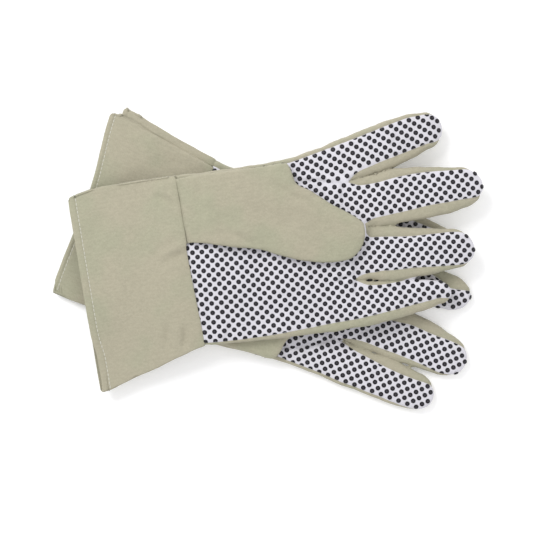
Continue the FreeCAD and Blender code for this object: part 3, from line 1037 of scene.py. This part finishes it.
class GLOVES_OT_thumb(bpy.types.Operator):
    """Sews a glove's thumb, folded over the palm with its dotted side down"""

    bl_idname = "gloves.thumb"
    bl_label = "Thumb"
    glove: GLOVE_CHOICE

    def execute(self, context):
        settings = context.scene.gloves
        glove = GLOVES[self.glove]
        bm = bmesh.new()
        tube(bm, THUMBS[glove.name], THUMB_DEPTH, around=96, start_share=THUMB_START_SHARE, swell=THUMB_SWELL)
        skin = Skin(glove, fused(bm, settings.cloth_grain / MM, 5))

        def outer(x, t, z):
            tip = 3.3 * np.exp(-(((x - 126) / 4) ** 2) - ((t - 2) / 8) ** 2)
            root = 3 * (1 - smooth(x, 1, 8))
            return z - THUMB_DEPTH / 2 + 0.9 - tip + root

        skin.cut(outer)
        skin.remember()
        skin.groove(outer, settings.seam_depth / MM, 0.9)
        skin.crease(CREASES[f"{glove.name}_thumb"], THUMB_DEPTH / 2)
        skin.ripple(settings.swell_height / MM * 1.1, 17, 5.3 if glove.side > 0 else 1.9)
        p = skin.points()
        x, t = p[:, 0], p[:, 1]
        share = THUMB_START_SHARE + (1 - THUMB_START_SHARE) * smooth(x, *THUMB_SWELL)
        lowered = THUMB_DEPTH / 2 * (1 - share) + 1.6 * (1 - smooth(x, 0.5, 3.2))
        p[:, 2] += glove.palm_height(x, t) + 0.35 - glove.sag(x, t) - lowered
        skin.move(p)
        up = outer(*skin.flat_centres().T) > 0
        halves = (("thumb_outer", up, "Cotton Drill"), ("thumb_inner", ~up, "Dotted Cotton"))
        for name, chosen, cloth in halves:
            obj = skin.panel(f"{glove.name}_{name}_cloth", chosen)
            finish_panel(obj, glove, f"{glove.name}_{name}", "thumb", cloth, THUMB_CLOTH)
        return {"FINISHED"}


class GLOVES_OT_cuff(bpy.types.Operator):
    """Sews a glove's flared gauntlet cuff: two panels and a stitched hem"""

    bl_idname = "gloves.cuff"
    bl_label = "Cuff"
    glove: GLOVE_CHOICE

    def execute(self, context):
        settings = context.scene.gloves
        glove = GLOVES[self.glove]
        outline = CUFFS[glove.name]
        seam = CUFF_SEAMS[glove.name]
        hem_line = HEM_LINES[glove.name]
        middle = HAND_DEPTH / 2
        bm = bmesh.new()
        tube(bm, outline, HAND_DEPTH, around=220, closed=False, plump=1.25, corner=2.4)
        skin = Skin(glove, new_mesh("cuff", bm))

        def front(x, t, z):
            low, high = outline.at(x)[:2]
            return np.minimum.reduce([t - low - seam, high + 1 - t, z - middle])

        skin.cut(lambda x, t, z: x - hem_line)
        skin.cut(front)
        if glove.side < 0:
            for beside in (-0.6, 0.6):
                inset = seam + beside
                skin.cut(lambda x, t, z, s=inset: np.where(z > middle, t - outline.at(x)[0] - s, UNCUT))
        skin.remember()
        p = skin.points()
        n = skin.normals()
        x, t, z = p.T
        roll = 0.5 * smooth(x, -0.9, 0.6) ** 1.5 + 0.5 * smooth(-x, 73.6, 75.2)
        proud = 0.3 * smooth(-x, -hem_line - 0.1, -hem_line + 0.7)
        stitch = 0.4 * np.exp(-(((x - hem_line) / 0.8) ** 2))
        p += n * (proud - stitch - roll)[:, None]
        skin.move(p)
        skin.groove(front, *((1.3, 0.45) if glove.side < 0 else (0.2, 0.9)))
        skin.crease(CREASES[f"{glove.name}_cuff"], middle)
        skin.ripple(settings.swell_height / MM * 1.2, 19, 2.2 if glove.side > 0 else 6.6)
        p = skin.points()
        x, t, z = p.T
        flatten = 1 - 0.34 * smooth(-x, 2, 40)
        p[:, 2] = middle * flatten + (z - middle) * flatten
        back = smooth(middle - z, -0.5, 0.5)
        if glove.side < 0:
            past = outline.at(x)[0] + seam - t
            back = np.maximum(back, smooth(past, -0.6, 0.6))
            p[:, 2] -= 0.9 * smooth(past, -0.3, 0.5) * smooth(z, middle, middle + 2)
        else:
            over_palm = smooth(x, -9, 0) * (1 - smooth(t, 9, 14)) * (1 - back)
            over_thumb = smooth(x, -26, 0) * smooth(t, 4, 14) * smooth(-t, -64, -56)
            p[:, 0] -= (0.8 + 0.026 * t) * over_palm
            p[:, 2] += 1.9 * over_thumb * smooth(z, middle, middle + 2)
        p[:, 0] += free_end(glove, t, back) * smooth(-x, 45, 70)
        p[:, 2] -= glove.sag(p[:, 0], p[:, 1])
        skin.move(p)
        flat = skin.flat_centres()
        hem = flat[:, 0] < hem_line
        up = front(*flat.T) > 0
        for name, chosen, thick in (
            ("cuff_palm_panel", up & ~hem, None),
            ("cuff_back_panel", ~up & ~hem, None),
            ("cuff_hem", hem, HEM_CLOTH),
        ):
            obj = skin.panel(f"{glove.name}_{name}_cloth", chosen)
            finish_panel(obj, glove, f"{glove.name}_{name}", "cuff", "Cotton Drill", thick)
        return {"FINISHED"}


def surface(obj):
    """A piece's outer surface, to set small things on."""
    bm = bmesh.new()
    bm.from_mesh(obj.data)
    tree = BVHTree.FromBMesh(bm)
    bm.free()
    return tree


# The dotted cloth that a glove is cut from.
GRIP_WIDTH = 160
GRIP_LENGTH = 230


def lattice(glove, pitch, thumb):
    """Places of the grip dots in the flat: rows along the cloth, every other one set off by half a pitch."""
    spots = []
    rows = int(GRIP_WIDTH / pitch)
    for j in range(-rows, rows + 1):
        for i in range(-3, int(GRIP_LENGTH / pitch)):
            u = i * pitch + (j % 2) * pitch / 2
            v = j * pitch / 2
            if thumb:
                spots.append((u, v))
                continue
            bow = -0.096 * min(u, 90) + 0.0005 * min(u, 90) ** 2
            x = u + 0.08 * v * max(0.0, 1 - u / 90)
            t = v + bow + 3
            spots.append((x, t + lean(glove, x, t)))
    return spots


# How the rows lean along each finger, for every millimetre, and the finger's low side.
LEANS = {
    "left": {"index": (0.15, 37), "middle": (0.0, 4), "ring": (-0.09, -31), "pinky": (-0.02, -90)},
    "right": {"index": (0.04, 30), "middle": (0.05, -5), "ring": (-0.02, -43), "pinky": (0.0, -90)},
}


def lean(glove, x, t):
    """How far the rows have leant with the finger that they run into."""
    past = max(0.0, x - 92)
    total = 0.0
    above = 90.0
    for slope, low in LEANS[glove.name].values():
        total += slope * float(smooth(t, low - 3, low + 3) - smooth(t, above - 3, above + 3))
        above = low
    return total * past


def raised(bm, face, share, up):
    """Draws a face up out of itself and in to a share of its width, leaving a sloped wall."""
    made = bmesh.ops.extrude_face_region(bm, geom=[face])["geom"]
    bmesh.ops.delete(bm, geom=[face], context="FACES_ONLY")
    top = next(g for g in made if isinstance(g, bmesh.types.BMFace))
    centre = top.calc_center_median()
    bmesh.ops.scale(bm, verts=top.verts, vec=(share, share, 1), space=Matrix.Translation(-centre))
    bmesh.ops.translate(bm, verts=top.verts, vec=(0, 0, up))
    return top


def dot_pattern(settings):
    """One low moulded dot: a rim set into the cloth, drawn in to a flat crown."""
    bm = bmesh.new()
    radius, height = settings.dot_diameter / 2, settings.dot_height
    bmesh.ops.create_circle(bm, cap_ends=True, segments=settings.dot_sides, radius=radius)
    sunk = 0.00025
    bmesh.ops.translate(bm, verts=bm.verts, vec=(0, 0, -sunk))
    bm.faces.ensure_lookup_table()
    top = raised(bm, bm.faces[0], 0.94, sunk + height * 0.5)
    top = raised(bm, top, 0.74, height * 0.4)
    # The crown face takes the second finish, painted paler as a highlight.
    raised(bm, top, 0.5, height * 0.1).material_index = 1
    bmesh.ops.recalc_face_normals(bm, faces=bm.faces)
    return new_mesh("dot", bm)


def kept_inside(glove, spots):
    """Points of a dot that would lie past a seam are drawn back to it, as the seam cuts a printed dot."""
    back = glove.matrix().inverted()
    local = np.array([back @ v for v in spots])
    step = 0.05
    for _ in range(2):
        x, t = local[:, 0], local[:, 1]
        inside = glove.front(x, t)
        slope = np.stack([glove.front(x + step, t) - inside, glove.front(x, t + step) - inside]) / step
        short = np.minimum(inside - 0.25, 0) / np.maximum((slope**2).sum(0), 0.5)
        local[:, 0] -= slope[0] * short
        local[:, 1] -= slope[1] * short
    place = glove.matrix()
    return [place @ Vector(v) for v in local]


def set_dot(bm, pattern, glove, place, normal, by_seam):
    """Adds a dot to a mesh, upright on the cloth, and cut off at the seam that it is by."""
    known = len(bm.verts)
    bm.from_mesh(pattern)
    bm.verts.ensure_lookup_table()
    verts = bm.verts[known:]
    turn = normal.to_track_quat("Z", "X").to_matrix().to_4x4()
    bmesh.ops.transform(bm, matrix=Matrix.Translation(place) @ turn, verts=verts)
    if by_seam:
        for v, spot in zip(verts, kept_inside(glove, [v.co for v in verts])):
            v.co = spot


class GLOVES_OT_dots(bpy.types.Operator):
    """Sets the moulded grip dots on a glove's dotted panels"""

    bl_idname = "gloves.dots"
    bl_label = "Grip Dots"
    glove: GLOVE_CHOICE

    def execute(self, context):
        settings = context.scene.gloves
        glove = GLOVES[self.glove]
        pattern = dot_pattern(settings)
        dotted = bpy.data.materials["Dotted Cotton"]
        mine = [o for o in context.scene.objects if o.name.startswith(f"{glove.name}_")]
        cloths = [o for o in mine if o.active_material == dotted]
        for thumb in (False, True):
            trees = {o.name: surface(o) for o in cloths if ("thumb" in o.name) == thumb}
            made = {name: bmesh.new() for name in trees}
            spots = np.array(lattice(glove, settings.dot_pitch / MM, thumb))
            inside = np.full(len(spots), UNCUT) if thumb else glove.front(*spots.T)
            way = Vector((0, 0, 1 if thumb else -1))
            for (x, t), depth in zip(spots, inside):
                if depth < -0.7:
                    continue
                start = glove.spot(x, t, -CLEAR if thumb else CLEAR)
                if depth < 0.3:
                    start = kept_inside(glove, [start])[0]
                for name, tree in trees.items():
                    place, normal, _, _ = tree.ray_cast(start, way)
                    if place is None or normal.dot(way) > -0.22:
                        continue
                    place.xy = glove.spot(x, t).xy
                    by_seam = depth < settings.dot_diameter / 2 / MM + 0.3
                    set_dot(made[name], pattern, glove, place, normal, by_seam)
                    break
            for name, bm in made.items():
                if not bm.faces:
                    raise RuntimeError(f"{name} has no dots")
                dots = new_object(name.replace("_cloth", "_dots"), bm)
                # The second finish is the crowns' painted highlight.
                for finish in ("Grip Dots", "Dot Crowns"):
                    dots.data.materials.append(bpy.data.materials[finish])
                region = name.removeprefix(f"{glove.name}_").rsplit("_", 2)[0]
                attach(dots, glove, region)
        bpy.data.meshes.remove(pattern)
        return {"FINISHED"}


class GLOVES_OT_stitches(bpy.types.Operator):
    """Runs a line of stitches round a cuff's hem"""

    bl_idname = "gloves.stitches"
    bl_label = "Hem Stitches"
    glove: GLOVE_CHOICE

    def execute(self, context):
        settings = context.scene.gloves
        glove = GLOVES[self.glove]
        panels = ("cuff_palm_panel", "cuff_back_panel", "cuff_hem")
        trees = [surface(bpy.data.objects[f"{glove.name}_{name}_cloth"]) for name in panels]
        bm = bmesh.new()
        hem_line = HEM_LINES[glove.name]
        low, high = (float(e) for e in CUFFS[glove.name].at(hem_line)[:2])
        across = settings.thread_width / 2
        shape = Matrix.Diagonal((settings.stitch_length / 2, across, across, 1))
        for way in (-1, 1):
            inset = 2.5 if way > 0 else max(CUFF_SEAMS[glove.name], 0) + 2.5
            for t in np.arange(low + inset, high - 2, settings.stitch_pitch / MM):
                x = hem_line + 0.5 + float(free_end(glove, t, way > 0))
                spot = glove.spot(x, float(t), -way * CLEAR)
                hits = [tree.ray_cast(spot, Vector((0, 0, way))) for tree in trees]
                hits = [h for h in hits if h[0] is not None]
                if not hits:
                    continue
                place, normal = min(hits, key=lambda h: h[3])[:2]
                turn = Matrix((glove.across, normal.cross(glove.across), normal)).transposed().to_4x4()
                made = bmesh.ops.create_uvsphere(bm, u_segments=8, v_segments=6, radius=1)["verts"]
                bmesh.ops.transform(bm, matrix=Matrix.Translation(place) @ turn @ shape, verts=made)
        bmesh.ops.recalc_face_normals(bm, faces=bm.faces)
        obj = new_object(f"{glove.name}_cuff_stitches", bm)
        obj.data.materials.append(bpy.data.materials["Hem Thread"])
        attach(obj, glove, "cuff")
        return {"FINISHED"}


class GLOVES_OT_sizes(bpy.types.Operator):
    """Measures the flat area that each of a glove's panels was cut to and finds the narrow pieces sewn on it,
    but keeps neither
    """

    bl_idname = "gloves.sizes"
    bl_label = "Cut Sizes"
    glove: GLOVE_CHOICE

    def execute(self, context):
        made = {o.name: o for o in context.scene.objects if o.name.startswith(f"{self.glove}_")}
        narrow = {
            f"{self.glove}_palm_panel": [f"{self.glove}_hand_side_strip_cloth"],
            f"{self.glove}_cuff_palm_panel": [f"{self.glove}_cuff_hem_cloth", f"{self.glove}_cuff_stitches"],
        }
        for name, obj in made.items():
            if not name.endswith(("panel_cloth", "front_cloth", "back_cloth", "inner_cloth", "outer_cloth")):
                continue
            stem = name.removesuffix("_cloth")
            pieces = [f"{stem}_dots", *narrow.get(stem, [])]
            if stem.endswith("_front"):
                pieces.append(stem.removesuffix("_front") + "_sides_cloth")
            bm = bmesh.new()
            bm.from_mesh(obj.data)
            flat = bm.verts.layers.float_vector["cut"]
            for v in bm.verts:
                v.co = v[flat]
            area = sum(f.calc_area() for f in bm.faces)
            bm.free()
            sewn_on = [made[n] for n in pieces if n in made]
        return {"FINISHED"}


class GLOVES_OT_stage(bpy.types.Operator):
    """Sets out the pale floor, the soft light and the camera straight above"""

    bl_idname = "gloves.stage"
    bl_label = "Stage"

    def execute(self, context):
        settings = context.scene.gloves
        bm = bmesh.new()
        bmesh.ops.create_grid(bm, x_segments=1, y_segments=1, size=3)
        bmesh.ops.translate(bm, verts=bm.verts, vec=(0, 0, -0.0006))
        floor = new_object("floor", bm)
        floor.data.materials.append(bpy.data.materials["Pale Floor"])

        centre = Vector((-0.0028, -0.0058, 0.02))
        distance, view_width = 1.9, 0.3731
        data = bpy.data.cameras.new("camera")
        data.sensor_width = 36.0
        data.lens = 36.0 * distance / view_width
        data.clip_start, data.clip_end = 0.1, 20
        camera = bpy.data.objects.new("camera", data)
        camera.location = centre + Vector((0, 0, distance))
        context.scene.collection.objects.link(camera)
        context.scene.camera = camera

        for name, place, size, power in (
            ("key light", (-0.75, 0.85, 1.15), 0.9, settings.key_power),
            ("fill light", (0.9, -0.3, 1.3), 1.4, settings.key_power * 0.25),
        ):
            lamp = bpy.data.lights.new(name, "AREA")
            lamp.shape, lamp.size, lamp.energy = "DISK", size, power
            obj = bpy.data.objects.new(name, lamp)
            obj.location = place
            obj.rotation_mode = "QUATERNION"
            obj.rotation_quaternion = (Vector(place) - centre).to_track_quat("Z", "Y")
            context.scene.collection.objects.link(obj)
        world = bpy.data.worlds.new("soft sky")
        world.use_nodes = True
        background = world.node_tree.nodes["Background"].inputs
        background["Color"].default_value = (1, 1, 1, 1)
        background["Strength"].default_value = settings.sky_strength
        context.scene.world = world
        context.scene.view_settings.view_transform = "Standard"
        return {"FINISHED"}


class GLOVES_PT_panel(bpy.types.Panel):
    """Lists the steps that make the gloves"""

    bl_label = "Gardening Gloves"
    bl_idname = "GLOVES_PT_panel"
    bl_space_type = "VIEW_3D"
    bl_region_type = "UI"
    bl_category = "Gloves"

    def draw(self, context):
        column = self.layout.column()
        column.operator("gloves.cloths")
        for name in GLOVES:
            for step in ("hand", "thumb", "cuff", "dots", "stitches", "sizes"):
                column.operator(f"gloves.{step}", text=f"{name.title()} {step.title()}").glove = name
        column.operator("gloves.stage")
        for key in GloveSettings.__annotations__:
            column.prop(context.scene.gloves, key)


CLASSES = (
    GloveSettings,
    GLOVES_OT_cloths,
    GLOVES_OT_hand,
    GLOVES_OT_thumb,
    GLOVES_OT_cuff,
    GLOVES_OT_dots,
    GLOVES_OT_stitches,
    GLOVES_OT_sizes,
    GLOVES_OT_stage,
    GLOVES_PT_panel,
)


def register():
    for cls in CLASSES:
        bpy.utils.register_class(cls)
    bpy.types.Scene.gloves = PointerProperty(type=GloveSettings)


def unregister():
    del bpy.types.Scene.gloves
    for cls in reversed(CLASSES):
        bpy.utils.unregister_class(cls)


def main():
    register()
    bpy.ops.gloves.cloths()
    for name in GLOVES:
        bpy.ops.gloves.hand(glove=name)
        bpy.ops.gloves.thumb(glove=name)
        bpy.ops.gloves.cuff(glove=name)
        bpy.ops.gloves.dots(glove=name)
        bpy.ops.gloves.stitches(glove=name)
        bpy.ops.gloves.sizes(glove=name)
    bpy.ops.gloves.stage()
    bpy.context.view_layer.update()


if __name__ == "__main__":
    main()
